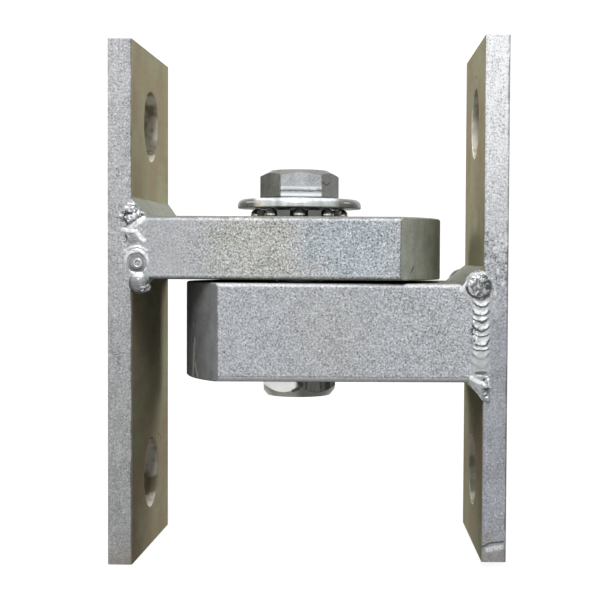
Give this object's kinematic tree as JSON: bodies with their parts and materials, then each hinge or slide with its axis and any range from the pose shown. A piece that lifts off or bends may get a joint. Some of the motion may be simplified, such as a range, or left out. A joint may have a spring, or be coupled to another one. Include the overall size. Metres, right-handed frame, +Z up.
{
  "type": "adjustable bolt-on hinge",
  "caption": "Bolt-on gate hinge: drilled plates with welded arms pivoting on an upright hex bolt with a ball thrust bearing; turning the bolt adjusts height.",
  "frame": {"origin": "middle of the post plate's mounting face", "axes": "+X out of the post plate along its arm towards the gate leaf, +Z up along the bolt, +Y away from the viewer of the picture"},
  "size_m": [0.1546, 0.0843, 0.2053],
  "materials": {
    "plate_zinc": "dull galvanised flat bar",
    "arm_zinc": "bright pitted galvanised bar",
    "weld_zinc": "rippled weld metal under zinc",
    "bolt_zinc": "bright zinc plate",
    "nut_zinc": "bright zinc plate",
    "washer_zinc": "bright zinc plate, lightly scuffed",
    "race_steel": "dark oiled steel",
    "cage_steel": "pressed steel",
    "ball_steel": "polished hardened steel"
  },
  "bodies": {
    "post_leaf": {"post_plate": "plate_zinc", "upper_arm": "arm_zinc", "post_weld_top": "weld_zinc", "post_weld_bottom": "weld_zinc", "post_weld_front": "weld_zinc", "post_weld_back": "weld_zinc", "bearing_race": "race_steel"},
    "ball_ring": {"ball_cage": "cage_steel", "ball_01": "ball_steel", "ball_02": "ball_steel", "ball_03": "ball_steel", "ball_04": "ball_steel", "ball_05": "ball_steel", "ball_06": "ball_steel", "ball_07": "ball_steel", "ball_08": "ball_steel", "ball_09": "ball_steel"},
    "washer": {"flat_washer": "washer_zinc"},
    "bolt": {"hinge_bolt": "bolt_zinc"},
    "gate_leaf": {"gate_plate": "plate_zinc", "lower_arm": "arm_zinc", "gate_weld_top": "weld_zinc", "gate_weld_bottom": "weld_zinc", "gate_weld_front": "weld_zinc", "gate_weld_back": "weld_zinc", "jam_nut": "nut_zinc"}
  },
  "joints": [
    {"name": "swing", "type": "hinge", "parent": "post_leaf", "child": "washer", "pos_m": [0.07103, 0, 0], "axis": [0, 0, 1], "range_deg": [-108, 102]},
    {"name": "bearing_roll", "type": "hinge", "parent": "post_leaf", "child": "ball_ring", "pos_m": [0.07103, 0, 0], "axis": [0, 0, 1], "range_deg": [-54.5, 51.5]},
    {"name": "bolt_turn", "type": "hinge", "parent": "washer", "child": "bolt", "pos_m": [0.07103, 0, 0], "axis": [0, 0, 1], "range_deg": [-119.2, 453.7]},
    {"name": "height_adjust", "type": "slide", "parent": "washer", "child": "gate_leaf", "axis": [0, 0, 1], "range_m": [-0.0032, 0.00084]}
  ],
  "couplings": [
    {"joint": "bearing_roll", "follows": "swing", "ratio": 0.5},
    {"joint": "bolt_turn", "follows": "height_adjust", "rad_per_m": -2473.7}
  ]
}
